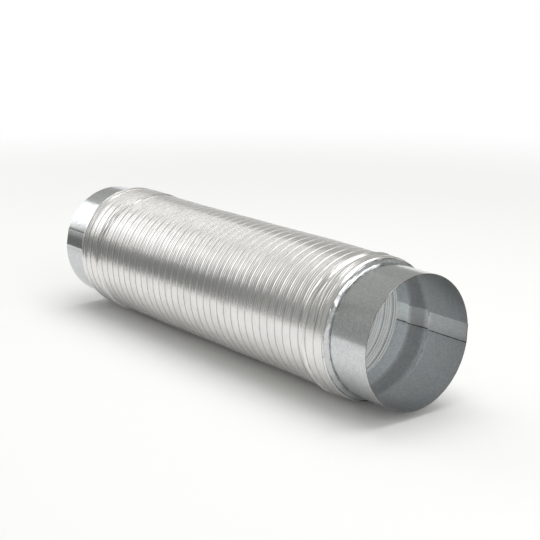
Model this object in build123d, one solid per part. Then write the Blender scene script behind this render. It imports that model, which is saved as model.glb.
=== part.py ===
from build123d import *
from math import pi
import os

# A short flexible ventilation duct: a corrugated hose wound from aluminium strip,
# with a galvanised sheet collar pushed into each end. It lies on its side along X,
# with its front mouth facing +X. All sizes are in millimetres.

# Whole duct
duct_length = 500.0

# Collars, rolled from flat sheet and lapped. Each has a plain spigot, a bead that
# the hose is pushed over, a groove, and a lower bead that ends at the inner edge.
collar_diameter = 124.0
sheet_thickness = 0.5
spigot_length = 47.0
bead_height = 3.8
bead_shoulder = 2.5
bead_top = 6.5
bead_slope = 16.0
groove_width = 2.0
inner_bead_height = 2.2
inner_bead_shoulder = 2.0
inner_bead_slope = 14.0
inner_bead_fall = 0.8
bend_radius = 2.5 * sheet_thickness
slope_radius = 5.0
lap_width = 16.8
lap_step = sheet_thickness / 2
front_lap_angle = 174.5
back_lap_angle = 160.0

# Hose: each turn of the strip has one flat lock seam and some lower ribs
hose_diameter = 133.0
strip_pitch = 11.2
strip_wall = 0.4
wave_depth = 1.2
rib_drop = 0.3
seam_width = 1.6
ribs_per_turn = 3

# How the hose sits on the collars
front_bare_length = 49.0
back_bare_length = 40.0
seat_gap = 0.3
fold_rise = 2.2
fold_slope = 6.0

# Places and sizes that follow
collar_radius = collar_diameter / 2
hose_radius = hose_diameter / 2
bead_start = spigot_length + bead_shoulder
bead_end = bead_start + bead_top
groove_start = bead_end + bead_slope
groove_end = groove_start + groove_width
inner_bead_start = groove_end + inner_bead_shoulder
collar_length = inner_bead_start + inner_bead_slope
hose_front = duct_length / 2 - front_bare_length
hose_back = back_bare_length - duct_length / 2

# The hose's crest radius by its distance from a mouth. The hose is stretched over each
# bead, stands up in a fold over the groove, and stays clear of the lower bead.
seat_rise = seat_gap + strip_wall + wave_depth
seat_radius = collar_radius + bead_height + seat_rise
inner_seat_radius = max(hose_radius, collar_radius + inner_bead_height + seat_rise)
fold_radius = (seat_radius + hose_radius) / 2 + fold_rise
fold_place = (groove_start + groove_end) / 2
crest_line = [
    (0, seat_radius),
    (bead_end, seat_radius),
    (fold_place, fold_radius),
    (fold_place + fold_slope, inner_seat_radius),
    (collar_length, inner_seat_radius),
    (collar_length + fold_slope, hose_radius),
]


def collar_wall():
    """The outer face of a collar's wall as a line, from its mouth at X = 0 to its inner edge."""
    bead = collar_radius + bead_height
    inner_bead = collar_radius + inner_bead_height
    corners = [
        (0, collar_radius),
        (spigot_length, collar_radius),
        (bead_start, bead),
        (bead_end, bead),
        (groove_start, collar_radius),
        (groove_end, collar_radius),
        (inner_bead_start, inner_bead),
        (collar_length, inner_bead - inner_bead_fall),
    ]
    radii = [bend_radius, bend_radius, slope_radius, slope_radius, bend_radius, bend_radius]
    return FilletPolyline(*corners, radius=radii)


def rolled_sheet(thickness, side, angle=360):
    """Sheet on one side of the collar's wall line, rolled about the axis."""
    return revolve(make_face(offset(collar_wall(), thickness, side=side)), Axis.X, angle)


def collar(lap_angle):
    """A rolled collar: one sheet all round, and two where its ends lap."""
    lap_turn = lap_width / collar_radius * 180 / pi
    outer_lap = rolled_sheet(lap_step, Side.LEFT, lap_turn)
    inner_lap = rolled_sheet(sheet_thickness + lap_step, Side.RIGHT, lap_turn)
    return rolled_sheet(sheet_thickness, Side.RIGHT) + Rot(X=lap_angle) * (outer_lap + inner_lap)


def crest_radius(x):
    """The hose's crest radius at X, read from the crest line of the nearer end."""
    from_mouth = duct_length / 2 - abs(x)
    for (start, start_radius), (end, end_radius) in zip(crest_line, crest_line[1:]):
        if from_mouth <= end:
            return start_radius + (from_mouth - start) / (end - start) * (end_radius - start_radius)
    return hose_radius


def turn_corners(pitch):
    """Each corner of one turn of the strip: its place along the turn and its depth under the crest."""
    step = (pitch - seam_width) / (2 * ribs_per_turn + 2)
    ribs = range(1, 2 * ribs_per_turn + 2)
    depths = [wave_depth if n % 2 else rib_drop for n in ribs]
    return [(0, 0), (seam_width, 0)] + [(seam_width + n * step, d) for n, d in zip(ribs, depths)]


def hose_outline():
    """The corners of the hose's outer face, from its back end to its front end."""
    length = hose_front - hose_back
    turns = round(length / strip_pitch)
    pitch = length / turns
    corners = []
    for turn in range(turns):
        for along, depth in turn_corners(pitch):
            x = hose_back + turn * pitch + along
            corners.append((x, crest_radius(x) - depth))
    return corners + [(hose_front, crest_radius(hose_front))]


def hose():
    """The corrugated hose, with its turns drawn as rings."""
    outer = hose_outline()
    inner = [(x, radius - strip_wall) for x, radius in reversed(outer)]
    return revolve(make_face(Polyline(*outer, *inner, close=True)), Axis.X)


# The duct rests on its widest ring
axis_height = max(radius for x, radius in hose_outline())
raised = Pos(0, 0, axis_height)
front = Pos(duct_length / 2, 0, 0) * Rot(Z=180)
back = Pos(-duct_length / 2, 0, 0)
pieces = {
    "front_collar": raised * front * collar(front_lap_angle),
    "back_collar": raised * back * collar(back_lap_angle),
    "hose": raised * hose(),
}

os.makedirs("parts", exist_ok=True)
for name, piece in pieces.items():
    export_step(piece, f"parts/{name}.step")
    print(name, round(piece.volume), "mm3")
print("axis height", round(axis_height, 3), "mm")
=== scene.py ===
from math import atan2, cos, degrees, pi, radians
import bmesh
import bpy
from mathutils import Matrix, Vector


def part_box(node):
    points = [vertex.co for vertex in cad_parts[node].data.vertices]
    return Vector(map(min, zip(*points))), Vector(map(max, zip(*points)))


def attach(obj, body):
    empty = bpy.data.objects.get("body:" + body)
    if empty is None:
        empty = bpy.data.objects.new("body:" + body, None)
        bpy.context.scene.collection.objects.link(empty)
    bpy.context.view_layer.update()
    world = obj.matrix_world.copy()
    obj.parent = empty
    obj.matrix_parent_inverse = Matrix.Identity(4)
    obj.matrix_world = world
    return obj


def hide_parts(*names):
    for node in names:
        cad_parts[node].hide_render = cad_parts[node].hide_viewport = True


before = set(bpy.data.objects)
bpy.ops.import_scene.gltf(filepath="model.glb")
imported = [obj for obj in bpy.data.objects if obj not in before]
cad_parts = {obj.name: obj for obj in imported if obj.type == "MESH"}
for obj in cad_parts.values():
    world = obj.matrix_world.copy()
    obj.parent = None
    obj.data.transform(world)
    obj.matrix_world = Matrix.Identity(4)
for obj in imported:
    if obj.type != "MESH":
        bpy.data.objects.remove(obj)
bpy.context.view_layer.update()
print("stage: frame loaded")

mm = 0.001
axisHeight = sum(corner.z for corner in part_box("hose")) / 2
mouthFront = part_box("front_collar")[1].x
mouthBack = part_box("back_collar")[0].x
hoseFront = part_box("hose")[1].x
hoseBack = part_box("hose")[0].x


# Modelling by hand, one operator at a time

def startPiece(name):
    made = bpy.context.object
    made.name = name
    made.data.name = name
    return made


def makeActive(piece):
    if bpy.context.object and bpy.context.object.mode == "EDIT":
        bpy.ops.object.mode_set(mode="OBJECT")
    bpy.ops.object.select_all(action="DESELECT")
    piece.select_set(True)
    bpy.context.view_layer.objects.active = piece


def pick(piece, wanted):        # selects the vertices whose place passes the test, and says how many
    mesh = bmesh.from_edit_mesh(piece.data)
    for part in (mesh.verts, mesh.edges, mesh.faces):
        for item in part:
            item.select_set(False)
    found = 0
    for vertex in mesh.verts:
        if wanted(vertex.co):
            vertex.select_set(True)
            found += 1
    mesh.select_flush(True)
    bmesh.update_edit_mesh(piece.data)
    return found


def angleOf(place):             # degrees round the duct, from straight up towards +Y
    return degrees(atan2(place.y, place.z - axisHeight))


def apart(first, second):       # degrees between two directions
    return abs((first - second + 180) % 360 - 180)


def onAxis(x):
    return (x, 0, axisHeight)


def addModifier(piece, kind, **settings):
    made = piece.modifiers.new(kind.lower(), kind)
    for key, value in settings.items():
        setattr(made, key, value)
    makeActive(piece)
    bpy.ops.object.modifier_apply(modifier=made.name)


def dress(piece, materials):    # before the wall gets its thickness, because its inside takes another one
    for material in materials:
        piece.data.materials.append(material)


def settle(piece, smoothAngle):
    makeActive(piece)
    bpy.ops.object.transform_apply(location=True, rotation=True, scale=True)
    bpy.ops.object.shade_smooth_by_angle(angle=radians(smoothAngle))
    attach(piece, "root")


# Shader maths as plain expressions

class Wire:
    def __init__(self, tree, socket=None):
        self.tree = tree
        self.socket = socket

    def node(self, kind, settings=None, inputs=None, output=0):
        made = self.tree.nodes.new(kind)
        for key, value in (settings or {}).items():
            setattr(made, key, value)
        for key, value in (inputs or {}).items():
            if isinstance(value, Wire):
                self.tree.links.new(value.socket, made.inputs[key])
            else:
                made.inputs[key].default_value = value
        return Wire(self.tree, made.outputs[output] if made.outputs else None)

    def maths(self, operation, *others):            # this wire comes first
        return self.node("ShaderNodeMath", {"operation": operation}, dict(enumerate((self, *others))))

    def __add__(self, other):
        return self.maths("ADD", other)

    def __radd__(self, other):
        return self.maths("ADD", other)

    def __sub__(self, other):
        return self.maths("SUBTRACT", other)

    def __rsub__(self, other):
        return self.node("ShaderNodeMath", {"operation": "SUBTRACT"}, {0: other, 1: self})

    def __mul__(self, other):
        return self.maths("MULTIPLY", other)

    def __rmul__(self, other):
        return self.maths("MULTIPLY", other)

    def __truediv__(self, other):
        return self.maths("DIVIDE", other)

    def clamped(self, low, high):                   # 0 at low, 1 at high, smooth between
        return self.node("ShaderNodeMapRange", {"interpolation_type": "SMOOTHSTEP"},
                         {"Value": self, "From Min": low, "From Max": high})

    def within(self, low, high, soft):              # 1 between low and high
        return self.clamped(low - soft, low) * (1 - self.clamped(high, high + soft))

    def mixed(self, first, second):                 # this wire is how much of the second colour
        return self.node("ShaderNodeMix", {"data_type": "RGBA"}, {0: self, 6: first, 7: second}, 2)


def newMaterial(name):
    material = bpy.data.materials.new(name)
    material.use_nodes = True
    material.node_tree.nodes.clear()
    return material, Wire(material.node_tree)


def finishMaterial(start, shader):
    start.node("ShaderNodeOutputMaterial", None, {"Surface": shader})


def objectPlace(start):
    return start.node("ShaderNodeTexCoord", None, None, "Object")


def splitPlace(start):                              # x, y and height above the axis
    split = start.node("ShaderNodeSeparateXYZ", None, {"Vector": objectPlace(start)})
    x, y, z = [Wire(start.tree, socket) for socket in split.socket.node.outputs]
    return x, y, z - axisHeight


def noise(start, scale, detail, roughness, stretch=(1, 1, 1)):
    mapped = start.node("ShaderNodeMapping", None, {"Vector": objectPlace(start), "Scale": stretch})
    return start.node("ShaderNodeTexNoise", None,
                      {"Vector": mapped, "Scale": scale, "Detail": detail, "Roughness": roughness})


# The hose: one strip of aluminium wound in a left-hand spiral

hoseShape = {
    "radius": 66.5 * mm,            # to the top of the lock seam
    "pitch": 11.1 * mm,
    "stepsATurn": 64,
    "ribRises": (0.16 * mm, 0.22 * mm, 0.16 * mm),       # over the troughs
    "ribPoints": 4,                 # points for each rib, trough to trough
    "wall": 0.25 * mm,
    "trim": 12 * mm,                # wound past each end, then cut off
    "weld": 0.02 * mm,              # points nearer than this are one
    "dents": 0.25 * mm,
    "dentSize": 28 * mm,
    "smoothAngle": 60,
}

# The lock seam: place along one turn and depth under its top, in millimetres. Its front edge
# stands over a crevice.
seamOutline = [
    (0, 0.3), (0.8, 0.16), (1.4, 0.04), (1.9, 0), (2.15, 0.06), (2.5, 0.4), (2.65, 0.4), (2.9, 0.3),
]

# The hose isn't quite straight: where it is off the axis, by how much, and over what length
sways = [(115 * mm, 0.8 * mm, 90 * mm), (-100 * mm, -0.6 * mm, 90 * mm)]
swayRing = 1 * mm                   # the points this near to that place are moved, and the rest follow


def ribPlaces(shape):               # where the first rib starts along a turn, and each rib's width
    seamEnd = seamOutline[-1][0] * mm
    return seamEnd, (shape["pitch"] - seamEnd) / len(shape["ribRises"])


def stripOutline(shape):
    outline = [(place * mm, depth * mm) for place, depth in seamOutline]
    seamEnd, ribWidth = ribPlaces(shape)
    trough = outline[-1][1]
    for n, rise in enumerate(shape["ribRises"]):
        for point in range(1, shape["ribPoints"] + 1):
            share = point / shape["ribPoints"]
            depth = trough - rise * (1 - cos(2 * pi * share)) / 2
            outline.append((seamEnd + (n + share) * ribWidth, depth))
    return outline


def windHose(shape):
    outline = stripOutline(shape)
    start = hoseBack - shape["trim"]
    turns = int((hoseFront - hoseBack + 2 * shape["trim"]) / shape["pitch"]) + 1
    bpy.ops.mesh.primitive_plane_add(size=1 * mm, location=(0, 0, 0))
    hose = startPiece("corrugated_hose")
    bpy.ops.object.mode_set(mode="EDIT")
    bpy.ops.mesh.select_all(action="SELECT")
    bpy.ops.mesh.merge(type="CENTER")
    bpy.ops.transform.translate(value=(start, 0, shape["radius"] - outline[0][1]))
    for (along, depth), (nextAlong, nextDepth) in zip(outline, outline[1:]):
        step = (nextAlong - along, 0, depth - nextDepth)
        bpy.ops.mesh.extrude_region_move(TRANSFORM_OT_translate={"value": step})
    bpy.ops.object.mode_set(mode="OBJECT")
    addModifier(hose, "SCREW", axis="X", angle=-2 * pi, screw_offset=shape["pitch"], iterations=turns,
                steps=shape["stepsATurn"], render_steps=shape["stepsATurn"], use_merge_vertices=False)
    bpy.ops.object.mode_set(mode="EDIT")
    bpy.ops.mesh.select_all(action="SELECT")
    bpy.ops.mesh.remove_doubles(threshold=shape["weld"])
    bpy.ops.transform.translate(value=(0, 0, axisHeight))
    for cut, side in ((hoseBack, -1), (hoseFront, 1)):
        bpy.ops.mesh.select_all(action="SELECT")
        bpy.ops.mesh.bisect(plane_co=onAxis(cut), plane_no=(side, 0, 0), clear_outer=True)
    bpy.ops.mesh.select_all(action="SELECT")
    bpy.ops.mesh.normals_make_consistent(inside=False)
    bpy.ops.object.mode_set(mode="OBJECT")
    return hose


def swell(piece, wanted, growth, reach):            # moves rings of vertices out from the axis
    bpy.ops.object.mode_set(mode="EDIT")
    if pick(piece, wanted):
        factor = 1 + growth / hoseShape["radius"]
        bpy.ops.transform.resize(value=(1, factor, factor), center_override=onAxis(0),
                                 use_proportional_edit=True, proportional_edit_falloff="SMOOTH",
                                 proportional_size=reach)
    bpy.ops.object.mode_set(mode="OBJECT")


endShape = {
    "seatGrowth": 1.0 * mm,         # the collar's beads stretch the hose as far as the fold
    "seatReach": 4 * mm,
    "foldRing": 0.6 * mm,           # half the width of the fold's top
    "foldReach": 1.9 * mm,
    "underArcs": (85, 65, 45),      # degrees either side of the lowest line, with the fold higher in each
    "secondFold": 3.8 * mm,         # a lower ridge, this far behind the fold
    "secondRise": 1 / 3,            # its height, as a share of the fold's
    "creaseRing": 0.5 * mm,
    "creaseReach": 1.4 * mm,
    "tuckRing": 1 * mm,             # the edge is pressed down onto the collar's bead
    "tuckDepth": 1.1 * mm,
    "tuckReach": 2.5 * mm,
    "unevenRing": 1.2 * mm,
    "edgeUnevenness": 0.25 * mm,
}

# fold: its distance from the mouth. foldLean: how much further that is along the top.
hoseEnds = [
    {"mouth": mouthFront, "edge": hoseFront, "inwards": -1, "fold": 76.5 * mm, "foldLean": -10 * mm,
     "foldRise": 1.7 * mm, "underRise": 0.33 * mm, "creases": (7.5 * mm, 11.5 * mm, 15.8 * mm),
     "creaseDepth": 0.25 * mm, "seed": 3},
    {"mouth": mouthBack, "edge": hoseBack, "inwards": 1, "fold": 74 * mm, "foldLean": 18 * mm,
     "foldRise": 0.8 * mm, "underRise": 0.57 * mm, "creases": (2.5 * mm, 6 * mm, 9.5 * mm, 13.5 * mm),
     "creaseDepth": 0.5 * mm, "seed": 5},
]


def pastFold(place, end):           # how far a place is past the fold, away from the mouth
    lean = end["foldLean"] * max(0, cos(radians(angleOf(place)))) ** 2
    return (place.x - end["mouth"]) * end["inwards"] - end["fold"] - lean


def seatHose(hose, end, shape):
    def onRing(place, offset):
        return abs(pastFold(place, end) - offset) < shape["foldRing"]

    def pastEdge(place):
        return (place.x - end["edge"]) * end["inwards"]

    swell(hose, lambda place: pastFold(place, end) < -shape["seatReach"], shape["seatGrowth"],
          shape["seatReach"])
    swell(hose, lambda place: onRing(place, 0), end["foldRise"], shape["foldReach"])
    for arc in shape["underArcs"]:                  # the duct rests on its folds
        swell(hose, lambda place: onRing(place, 0) and apart(angleOf(place), 180) < arc, end["underRise"],
              shape["foldReach"])
    swell(hose, lambda place: onRing(place, shape["secondFold"]), end["foldRise"] * shape["secondRise"],
          shape["foldReach"])
    for crease in end["creases"]:
        swell(hose, lambda place: abs(pastEdge(place) - crease) < shape["creaseRing"], -end["creaseDepth"],
              shape["creaseReach"])
    swell(hose, lambda place: pastEdge(place) < shape["tuckRing"], -shape["tuckDepth"], shape["tuckReach"])
    bpy.ops.object.mode_set(mode="EDIT")
    pick(hose, lambda place: pastEdge(place) < shape["unevenRing"])
    bpy.ops.transform.vertex_random(offset=shape["edgeUnevenness"], seed=end["seed"])
    bpy.ops.object.mode_set(mode="OBJECT")


def handleHose(hose, shape):        # the small bends and dents that a hand leaves
    for x, rise, reach in sways:
        bpy.ops.object.mode_set(mode="EDIT")
        pick(hose, lambda place: abs(place.x - x) < swayRing)
        bpy.ops.transform.translate(value=(0, 0, rise), use_proportional_edit=True,
                                    proportional_edit_falloff="SMOOTH", proportional_size=reach)
        bpy.ops.object.mode_set(mode="OBJECT")
    dents = bpy.data.textures.new("dents", "CLOUDS")
    dents.noise_scale = shape["dentSize"]
    addModifier(hose, "DISPLACE", texture=dents, texture_coords="LOCAL", strength=shape["dents"])


def makeHose():
    hose = windHose(hoseShape)
    for end in hoseEnds:
        seatHose(hose, end, endShape)
    handleHose(hose, hoseShape)
    outside = aluminiumStrip("aluminiumStrip", stripOutside)
    inside = aluminiumStrip("aluminiumStripInside", stripInside)
    dress(hose, [outside, inside])
    addModifier(hose, "SOLIDIFY", thickness=hoseShape["wall"], offset=-1, material_offset=1)
    settle(hose, hoseShape["smoothAngle"])
    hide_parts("hose")
    print("stage: hose", len(hose.data.polygons), "faces")


stripFinish = {
    "colour": (0.825, 0.81, 0.805, 1),
    "shade": (0.765, 0.75, 0.745, 1),
    # dark colour for dirt and painted shade in the seam's crevice and between the ribs
    "dirtAndShade": (0.16, 0.145, 0.12, 1),
    "mottleScale": 60,
    "mottleFrom": 0.35,
    "mottleTo": 0.7,
    "roughness": 0.2,
    "roughnessSpread": 0.1,
    "dirtAndShadeRoughness": 0.3,           # added where dirt and painted shade darken the strip
    "lineScale": 2200,              # rolling marks, which run along the strip
    "lineStretch": (1, 0.03, 0.03),
    "lineDepth": 0.02 * mm,
    "lineStrength": 0.5,
    "knurlsATurn": 150,
    "knurlFrom": 0.15,              # the part of each knurl that stays darkened
    "knurlTo": 0.6,
    "knurlSoft": 0.15,
    "troughDirtAndShade": 0.2 * mm,         # half the width of the darkening between two ribs, dirt and painted shade, and its softness
}

# Painted shade with some dirt in the seam's crevice, broken up by its knurls, and inside also between the
# ribs
stripOutside = {"from": 2.2 * mm, "to": 2.6 * mm, "soft": 0.12 * mm, "amount": 0.5, "knurled": 0,
                "ribAmount": 0}
stripInside = {"from": 1.9 * mm, "to": 2.7 * mm, "soft": 0.2 * mm, "amount": 0.95, "knurled": 0.85,
               "ribAmount": 0.45}


def spiralPlace(start):             # how far across the strip, and how many turns round the duct
    x, y, height = splitPlace(start)
    turns = y.maths("ARCTAN2", height) / (2 * pi)
    across = (x - (hoseBack - hoseShape["trim"])) / hoseShape["pitch"] - turns
    return across.maths("FRACT") * hoseShape["pitch"], turns


# darkens the seam's crevice and the rib troughs: painted shade, with some dirt
def stripDirtAndShade(start, seam):
    finish = stripFinish
    across, turns = spiralPlace(start)
    knurls = (turns * finish["knurlsATurn"]).maths("FRACT")
    knurls = knurls.within(finish["knurlFrom"], finish["knurlTo"], finish["knurlSoft"])
    crevice = across.within(seam["from"], seam["to"], seam["soft"])
    dirtAndShade = crevice * seam["amount"] * (1 - seam["knurled"] * (1 - knurls))
    if seam["ribAmount"]:
        seamEnd, ribWidth = ribPlaces(hoseShape)
        width = finish["troughDirtAndShade"]
        for n in range(1, len(hoseShape["ribRises"])):
            trough = seamEnd + n * ribWidth
            dirtAndShade = dirtAndShade + seam["ribAmount"] * across.within(trough - width, trough + width, width)
    return dirtAndShade


def aluminiumStrip(name, seam):
    finish = stripFinish
    material, start = newMaterial(name)
    dirtAndShade = stripDirtAndShade(start, seam)
    mottle = noise(start, finish["mottleScale"], detail=4, roughness=0.6)
    lines = noise(start, finish["lineScale"], detail=2, roughness=0.6, stretch=finish["lineStretch"])
    shaded = mottle.clamped(finish["mottleFrom"], finish["mottleTo"])
    colour = shaded.mixed(finish["colour"], finish["shade"])
    roughness = finish["roughness"] + finish["roughnessSpread"] * mottle + finish["dirtAndShadeRoughness"] * dirtAndShade
    bump = start.node("ShaderNodeBump", None, {
        "Height": lines, "Distance": finish["lineDepth"], "Strength": finish["lineStrength"]})
    # the colour darkens in the crevice and the rib troughs, painted shade with some dirt
    finishMaterial(start, start.node("ShaderNodeBsdfPrincipled", None, {
        "Base Color": dirtAndShade.mixed(colour, finish["dirtAndShade"]), "Metallic": 1, "Roughness": roughness,
        "Normal": bump}))
    return material


# Collars: galvanised sheet, rolled up, lapped and beaded

collarShape = {
    "radius": 62 * mm,
    "sheet": 0.5 * mm,
    "sides": 115,
    "lapSides": 5,                  # sides that the flat lap takes
    "lapGap": 0.05 * mm,
    "lapEnd": 0.03,                 # share of its step over the ring that a lap keeps at its far end
    "loopSlack": 0.05 * mm,         # a station's loop of edges is looked for this near to it
    "bendSegments": 3,
    "rimBevel": 0.06 * mm,
    "rimSegments": 2,
    "rimAngle": 70,
    "crimp": 0.9 * mm,              # unevenness of the shoulder that the hose is pressed on
    "crimpPlace": 49 * mm,          # from the mouth
    "crimpRing": 1.6 * mm,
    "smoothAngle": 40,
}

# Place from the mouth, rise over the spigot and size of the rounding, all in millimetres
collarStations = [
    (0.5, 0, 0), (45.5, 0, 0), (47.0, 0, 0.8), (49.4, 3.8, 0.9), (56.0, 3.8, 3.0), (72.0, 0, 2.5),
    (75.2, 0, 0.6), (77.2, 2.2, 0.8), (90.5, 1.43, 0), (91.0, 1.4, 0),
]

# The lap lies between the sheet's cut edge inside and the one outside, in degrees
collarEnds = {
    "front": {"mouth": mouthFront, "inwards": -1, "innerEdge": 100.0, "outerEdge": 84.35, "seed": 4},
    "back": {"mouth": mouthBack, "inwards": 1, "innerEdge": -85.65, "outerEdge": -70.0, "seed": 9},
}

sheetPlaces = {"inside": 1, "cutEdge": 2, "lapHighlightEnd": 3}        # in a collar's materials


def turnedCircle(name, end, radius):                # a ring of edges with one wide side at the lap
    x = end["mouth"]
    side = 360 / collarShape["sides"]
    bpy.ops.mesh.primitive_circle_add(vertices=collarShape["sides"], radius=radius, fill_type="NOTHING",
                                      location=onAxis(x), rotation=(0, radians(90), 0))
    ring = startPiece(name)
    bpy.ops.object.transform_apply(location=True, rotation=True, scale=True)
    excess = min((angleOf(vertex.co) - end["innerEdge"]) % side for vertex in ring.data.vertices)
    bpy.ops.object.mode_set(mode="EDIT")
    bpy.ops.mesh.select_all(action="SELECT")
    bpy.ops.transform.rotate(value=radians(-excess), orient_axis="X", center_override=onAxis(x))
    middle = (end["innerEdge"] + end["outerEdge"]) / 2
    inLap = (collarShape["lapSides"] / 2 - 0.25) * side        # past the last corner inside the lap
    pick(ring, lambda place: apart(angleOf(place), middle) < inLap)
    bpy.ops.mesh.dissolve_verts()
    return ring


def drawOut(sheet, end, shift):     # extrudes the selected edges from the mouth, station by station
    spigot = collarShape["radius"] + shift
    place, radius = 0, spigot
    for station, rise, rounding in collarStations:
        step = end["inwards"] * (station - place) * mm
        bpy.ops.mesh.extrude_region_move(TRANSFORM_OT_translate={"value": (step, 0, 0)})
        target = spigot + rise * mm
        factor = target / radius
        bpy.ops.transform.resize(value=(1, factor, factor), center_override=onAxis(end["mouth"]))
        place, radius = station, target
    for station, rise, rounding in collarStations:
        loopAt = end["mouth"] + end["inwards"] * station * mm
        if rounding:
            pick(sheet, lambda place: abs(place.x - loopAt) < collarShape["loopSlack"])
            bpy.ops.mesh.bevel(offset=rounding * mm, segments=collarShape["bendSegments"], affect="EDGES")


def faceOut(sheet):                 # turns the sheet so that its faces look away from the axis
    bpy.ops.mesh.select_all(action="SELECT")
    bpy.ops.mesh.normals_make_consistent(inside=False)
    outward = 0
    for face in bmesh.from_edit_mesh(sheet.data).faces:
        middle = face.calc_center_median()
        outward += face.normal.dot(middle - Vector(onAxis(middle.x)))
    if outward < 0:
        bpy.ops.mesh.flip_normals()


def thicken(sheet, inside, materials):
    bpy.ops.object.mode_set(mode="OBJECT")
    dress(sheet, materials)
    addModifier(sheet, "SOLIDIFY", thickness=collarShape["sheet"], offset=-1,
                material_offset=sheetPlaces[inside], material_offset_rim=sheetPlaces["cutEdge"])


def lapTongue(name, end, cutAt, shift, materials):  # the sheet's last strip, flat, over or under the ring
    shape = collarShape
    tongue = turnedCircle(name, end, shape["radius"] + shift)
    side = 360 / shape["sides"]
    flatEnd = end["innerEdge"] + end["outerEdge"] - cutAt
    flatReach = 1.3 if shift > 0 else 0.5           # the outer one lies flush for one more side
    pick(tongue, lambda place: apart(angleOf(place), cutAt) > 0.5 * side
         and apart(angleOf(place), flatEnd) > flatReach * side)
    bpy.ops.mesh.delete(type="VERT")
    pick(tongue, lambda place: apart(angleOf(place), cutAt) > side)
    flush = (shape["radius"] + shape["lapEnd"] * shift) / (shape["radius"] + shift)
    bpy.ops.transform.resize(value=(1, flush, flush), center_override=onAxis(end["mouth"]))
    bpy.ops.mesh.select_all(action="SELECT")
    drawOut(tongue, end, shift)
    faceOut(tongue)
    # the inner lap's inside takes the lighter zinc, a painted highlight
    thicken(tongue, "lapHighlightEnd" if shift < 0 else "inside", materials)
    return tongue


def makeCollar(name, end, materials):
    shape = collarShape
    ring = turnedCircle(name + "_sheet", end, shape["radius"])
    bpy.ops.mesh.select_all(action="SELECT")
    drawOut(ring, end, 0)
    crimped = end["mouth"] + end["inwards"] * shape["crimpPlace"]
    pick(ring, lambda place: abs(place.x - crimped) < shape["crimpRing"])
    bpy.ops.transform.vertex_random(offset=shape["crimp"], seed=end["seed"])
    faceOut(ring)
    thicken(ring, "inside", materials)
    step = shape["sheet"] + shape["lapGap"]
    tongues = [lapTongue(name + "_inner_lap", end, end["innerEdge"], -step, materials),
               lapTongue(name + "_outer_lap", end, end["outerEdge"], step, materials)]
    makeActive(ring)
    for tongue in tongues:
        tongue.select_set(True)
    bpy.ops.object.join()
    addModifier(ring, "BEVEL", width=shape["rimBevel"], segments=shape["rimSegments"],
                limit_method="ANGLE", angle_limit=radians(shape["rimAngle"]))
    settle(ring, shape["smoothAngle"])
    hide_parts(name)
    print("stage:", name, len(ring.data.polygons), "faces")


sheetFinish = {
    "colour": (0.65, 0.66, 0.675, 1),
    "spangle": (0.53, 0.545, 0.56, 1),
    "lapHighlightColour": (0.93, 0.94, 0.94, 1),        # a lighter copy of the zinc, a painted highlight on the end of the sheet that laps over inside
    "lapHighlightSpangle": (0.8, 0.81, 0.81, 1),
    "roughness": 0.13,
    "roughnessInside": 0.32,
    "roughnessSpread": 0.1,
    "spangleScale": 700,
    "spangleShare": 0.35,           # of the patches, with what cloud and grain leave
    "spangleDepth": 0.006 * mm,
    "spangleStrength": 0.4,
    "cloudScale": 150,
    "cloudShare": 0.3,
    "grainScale": 1300,
    "grainShare": 0.35,
    "grainDepth": 0.03 * mm,
    "grainStrength": 0.3,
    "patchFrom": 0.25,
    "patchTo": 0.75,
    # dark colour for dirt and rust along the lap's cut edge, with the painted shadow of that edge
    "dirtAndShade": (0.09, 0.075, 0.06, 1),
    "dirtAndShadeWidth": 0.8,               # degrees of painted shadow and dirt along each lap's cut edge
    "dirtAndShadeSoft": 0.2,
    "dirtAndShadeScale": 400,
    "dirtAndShadeFrom": 0.25,
    "dirtAndShadeTo": 0.5,
    "dirtAndShadeRoughness": 0.3,           # added where dirt and painted shadow darken the lap's edge
    "backDirtAndShade": 0.6,                # on the back collar, as a share of the front one's
}

edgeFinish = {                      # bare cut steel, with rust where the zinc stops
    "colour": (0.16, 0.13, 0.11, 1),
    "rust": (0.12, 0.05, 0.02, 1),
    "rustScale": 500,
    "rustFrom": 0.42,
    "rustTo": 0.6,
    "roughness": 0.5,
    "rustRoughness": 0.3,           # added where it is rusty
}


def lapDirtAndShade(start):                 # painted shadow and dirt along the cut edge that shows on each collar
    finish = sheetFinish
    x, y, height = splitPlace(start)
    angle = y.maths("ARCTAN2", height) * (180 / pi)
    frontEdge = collarEnds["front"]["innerEdge"]
    backEdge = collarEnds["back"]["outerEdge"]
    front = angle.within(frontEdge, frontEdge + finish["dirtAndShadeWidth"], finish["dirtAndShadeSoft"])
    back = angle.within(backEdge, backEdge + finish["dirtAndShadeWidth"], finish["dirtAndShadeSoft"])
    inFront = x.clamped(0, 1 * mm)
    behind = (-1 * x).clamped(0, 1 * mm)
    spots = noise(start, finish["dirtAndShadeScale"], detail=3, roughness=0.6)
    spots = spots.clamped(finish["dirtAndShadeFrom"], finish["dirtAndShadeTo"])
    return (front * inFront + finish["backDirtAndShade"] * back * behind) * spots


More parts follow.
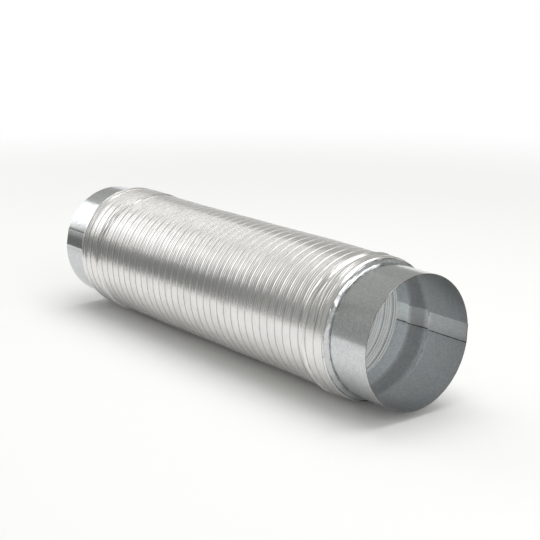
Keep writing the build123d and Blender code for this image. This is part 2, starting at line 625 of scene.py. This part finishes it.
def galvanisedSheet(name, baseRoughness, light, dark):
    finish = sheetFinish
    material, start = newMaterial(name)
    cells = start.node("ShaderNodeTexVoronoi", {"feature": "F1"},
                       {"Vector": objectPlace(start), "Scale": finish["spangleScale"]}, "Color")
    cell = start.node("ShaderNodeSeparateXYZ", None, {"Vector": cells})
    cloud = noise(start, finish["cloudScale"], detail=4, roughness=0.6)
    grain = noise(start, finish["grainScale"], detail=2, roughness=0.7)
    patches = finish["spangleShare"] * cell + finish["cloudShare"] * cloud + finish["grainShare"] * grain
    colour = patches.clamped(finish["patchFrom"], finish["patchTo"]).mixed(light, dark)
    dirtAndShade = lapDirtAndShade(start)
    roughness = baseRoughness + finish["roughnessSpread"] * patches + finish["dirtAndShadeRoughness"] * dirtAndShade
    spangles = start.node("ShaderNodeBump", None, {
        "Height": cell, "Distance": finish["spangleDepth"], "Strength": finish["spangleStrength"]})
    bump = start.node("ShaderNodeBump", None, {
        "Height": grain, "Distance": finish["grainDepth"], "Strength": finish["grainStrength"],
        "Normal": spangles})
    # the colour darkens along the lap's cut edge: painted shadow, with dirt
    finishMaterial(start, start.node("ShaderNodeBsdfPrincipled", None, {
        "Base Color": dirtAndShade.mixed(colour, finish["dirtAndShade"]), "Metallic": 1, "Roughness": roughness,
        "Normal": bump}))
    return material


def cutSteel():
    finish = edgeFinish
    material, start = newMaterial("cutEdge")
    rust = noise(start, finish["rustScale"], detail=3, roughness=0.7)
    rust = rust.clamped(finish["rustFrom"], finish["rustTo"])
    finishMaterial(start, start.node("ShaderNodeBsdfPrincipled", None, {
        "Base Color": rust.mixed(finish["colour"], finish["rust"]), "Metallic": 1 - rust,
        "Roughness": finish["roughness"] + finish["rustRoughness"] * rust}))
    return material


def collarMaterials():              # outside, inside, cut edge and the lap's painted highlight, as sheetPlaces counts them
    zinc = (sheetFinish["colour"], sheetFinish["spangle"])
    # the lap band's zinc is painted lighter, a highlight
    lapHighlightZinc = (sheetFinish["lapHighlightColour"], sheetFinish["lapHighlightSpangle"])
    return [galvanisedSheet("galvanisedSheet", sheetFinish["roughness"], *zinc),
            galvanisedSheet("galvanisedSheetInside", sheetFinish["roughnessInside"], *zinc),
            cutSteel(),
            galvanisedSheet("galvanisedLapHighlight", sheetFinish["roughnessInside"], *lapHighlightZinc)]


makeHose()
sheetMaterials = collarMaterials()
makeCollar("front_collar", collarEnds["front"], sheetMaterials)
makeCollar("back_collar", collarEnds["back"], sheetMaterials)


# Stage: pale floor, screens that the metal reflects, soft boxes and the camera

stageShape = {
    "floorSize": 60,
    "floorColour": (0.92, 0.92, 0.92, 1),
    "nearFloor": 0.7,               # the floor is lit within this radius, and plain white past the next
    "farFloor": 1.6,
    "worldColour": (0.435, 0.44, 0.415, 1),
    "white": (1, 1, 1, 1),
}

# Upright screens that metal reflects: middle, width and height in metres, degrees round Z, and colour
screens = {
    "backdrop": ((-2.0, 2.0, 0.28), 4.4, 0.56, 90, (1, 1, 1, 1)),
    "front_wall": ((2.2, 0.0, 1.2), 5.0, 2.4, 90, (0.62, 0.62, 0.61, 1)),
    "dark_card": ((-0.515, -0.245, 0.25), 0.78, 0.5, -9.6, (0.2, 0.205, 0.195, 1)),
    "grey_card": ((0.17, -0.35, 0.13), 0.6, 0.2, 0, (0.39, 0.4, 0.385, 1)),
}

# Where a card fades out at its top: from one height to another, both higher past turnsAt along X
cardFades = {
    "dark_card": {"turnsAt": -0.5, "from": 0.095, "fromSlope": 0.3, "to": 0.115, "toSlope": 1.2},
}

# A round card inside the duct, which only the metal sees, keeps its inner wall from going black
innerCard = {
    "place": (0.085, 0, axisHeight),
    "radius": 62 * mm,
    "sides": 48,
    "colour": (0.53, 0.57, 0.57, 1),
}

# Place, what it faces, width and height in metres, and glow, where 1 is white
softBoxes = {
    "sideBox": ((-1.5, -0.42, 0.64), (0, -0.42, 0.64), 0.66, 0.72, 1.75),
    "upperBox": ((-1.5, 0.2, 1.25), (0, 0.2, 1.25), 1.4, 0.4, 1.3),
    "topBox": ((0.1, 0.2, 2.2), (0, 0, 0), 2.0, 2.0, 2.6),
    "frontBox": ((1.6, -0.2, 0.9), (0.25, 0, 0.07), 1.2, 1.0, 1.3),
}

cameraShape = {
    "place": (0.9959, -0.7542, 0.4116),
    "heading": 51.64,               # degrees from +Y towards -X
    "dip": 14.72,                   # degrees under level
    "lens": 85.05,
    "sensor": 36,
}


def makeFloor():
    bpy.ops.mesh.primitive_plane_add(size=stageShape["floorSize"], location=(0, 0, 0))
    floor = startPiece("floor")
    material, start = newMaterial("paleFloor")
    x, y, height = splitPlace(start)
    distance = (x * x + y * y).maths("SQRT")
    far = distance.clamped(stageShape["nearFloor"], stageShape["farFloor"])
    rays = start.node("ShaderNodeLightPath").socket.node.outputs
    camera, glossy, through = [Wire(start.tree, rays[kind])
                               for kind in ("Is Camera Ray", "Is Glossy Ray", "Is Transmission Ray")]
    seen = (camera + glossy + through).maths("MINIMUM", 1)
    matt = start.node("ShaderNodeBsdfDiffuse", None, {"Color": stageShape["floorColour"]})
    white = start.node("ShaderNodeEmission", None, {"Color": stageShape["white"], "Strength": 1})
    finishMaterial(start, start.node("ShaderNodeMixShader", None, {0: far * seen, 1: matt, 2: white}))
    floor.data.materials.append(material)


def glowing(name, colour, fade):
    material, start = newMaterial(name)
    shader = start.node("ShaderNodeEmission", None, {"Color": colour, "Strength": 1})
    if fade:
        x, y, height = splitPlace(start)
        past = (x - fade["turnsAt"]).maths("MAXIMUM", 0)
        low = fade["from"] + fade["fromSlope"] * past
        high = fade["to"] + fade["toSlope"] * past
        clear = start.node("ShaderNodeBsdfTransparent")
        faded = (height + axisHeight).clamped(low, high)
        shader = start.node("ShaderNodeMixShader", None, {0: faded, 1: shader, 2: clear})
    finishMaterial(start, shader)
    return material


def finishScreen(name, colour, fade=None):          # only reflections show it
    screen = startPiece(name)
    bpy.ops.object.transform_apply(location=True, rotation=True, scale=True)
    screen.data.materials.append(glowing(name, colour, fade))
    screen.visible_camera = False
    screen.visible_diffuse = False
    screen.visible_shadow = False


def makeScreens():
    for name, (place, width, height, turn, colour) in screens.items():
        bpy.ops.mesh.primitive_plane_add(size=1, location=place, rotation=(radians(90), 0, radians(turn)))
        bpy.context.object.scale = (width, height, 1)
        finishScreen(name, colour, cardFades.get(name))
    bpy.ops.mesh.primitive_circle_add(vertices=innerCard["sides"], radius=innerCard["radius"],
                                      fill_type="NGON", location=innerCard["place"],
                                      rotation=(0, radians(90), 0))
    finishScreen("inner_card", innerCard["colour"])


def makeLights():
    for name, (place, target, width, height, glow) in softBoxes.items():
        light = bpy.data.lights.new(name, "AREA")
        light.shape = "RECTANGLE"
        light.size = width
        light.size_y = height
        light.energy = glow * pi * width * height
        lamp = bpy.data.objects.new(name, light)
        lamp.location = place
        lamp.rotation_euler = (Vector(target) - Vector(place)).to_track_quat("-Z", "Y").to_euler()
        bpy.context.scene.collection.objects.link(lamp)


def makeWorld():                    # grey to the metal, and white behind everything
    world = bpy.data.worlds.new("studio")
    world.use_nodes = True
    world.node_tree.nodes.clear()
    start = Wire(world.node_tree)
    seen = start.node("ShaderNodeLightPath", None, None, "Is Camera Ray")
    grey = start.node("ShaderNodeBackground", None, {"Color": stageShape["worldColour"]})
    white = start.node("ShaderNodeBackground", None, {"Color": stageShape["white"]})
    mixed = start.node("ShaderNodeMixShader", None, {0: seen, 1: grey, 2: white})
    start.node("ShaderNodeOutputWorld", None, {"Surface": mixed})
    bpy.context.scene.world = world


def makeCamera():
    lens = bpy.data.cameras.new("camera")
    lens.lens = cameraShape["lens"]
    lens.sensor_width = cameraShape["sensor"]
    camera = bpy.data.objects.new("camera", lens)
    camera.location = cameraShape["place"]
    camera.rotation_euler = (radians(90 - cameraShape["dip"]), 0, radians(cameraShape["heading"]))
    bpy.context.scene.collection.objects.link(camera)
    bpy.context.scene.camera = camera


makeFloor()
makeScreens()
makeLights()
makeWorld()
makeCamera()
bpy.context.scene.view_settings.view_transform = "Standard"
print("stage: floor, lights and camera")
